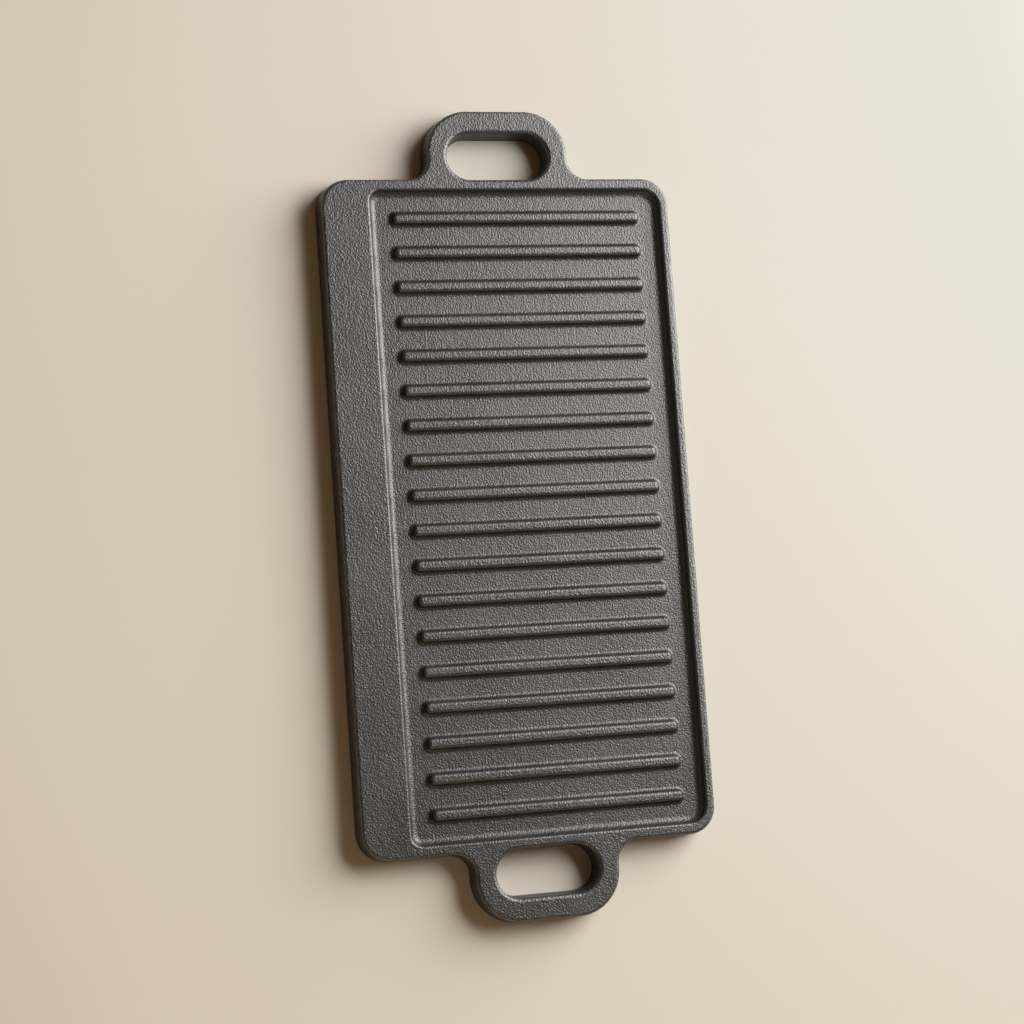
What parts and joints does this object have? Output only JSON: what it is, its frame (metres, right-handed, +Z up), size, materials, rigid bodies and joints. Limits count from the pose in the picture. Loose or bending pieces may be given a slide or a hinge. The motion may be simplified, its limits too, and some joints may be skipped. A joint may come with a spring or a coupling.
{
  "type": "cast iron griddle",
  "caption": "Long cast iron griddle with cross ridges in a shallow pocket, a flat band along one side and a loop handle at each end.",
  "frame": {"origin": "centre of the outline, on the surface that the griddle lies on, ridged side up", "axes": "+X from the left to the right loop handle, +Y towards the broad flat ledge, +Z up, away from the surface"},
  "size_m": [0.5126, 0.2306, 0.016],
  "materials": {
    "cast_iron": "seasoned sand casting, fine grain, soft satin sheen"
  },
  "bodies": {
    "root": {"griddle_floor": "cast_iron", "rear_ledge": "cast_iron", "front_rim": "cast_iron", "left_end_rim": "cast_iron", "right_end_rim": "cast_iron", "left_front_corner": "cast_iron", "right_front_corner": "cast_iron", "left_handle": "cast_iron", "right_handle": "cast_iron", "ridge_01": "cast_iron", "ridge_02": "cast_iron", "ridge_03": "cast_iron", "ridge_04": "cast_iron", "ridge_05": "cast_iron", "ridge_06": "cast_iron", "ridge_07": "cast_iron", "ridge_08": "cast_iron", "ridge_09": "cast_iron", "ridge_10": "cast_iron", "ridge_11": "cast_iron", "ridge_12": "cast_iron", "ridge_13": "cast_iron", "ridge_14": "cast_iron", "ridge_15": "cast_iron", "ridge_16": "cast_iron", "ridge_17": "cast_iron", "ridge_18": "cast_iron"}
  },
  "joints": []
}
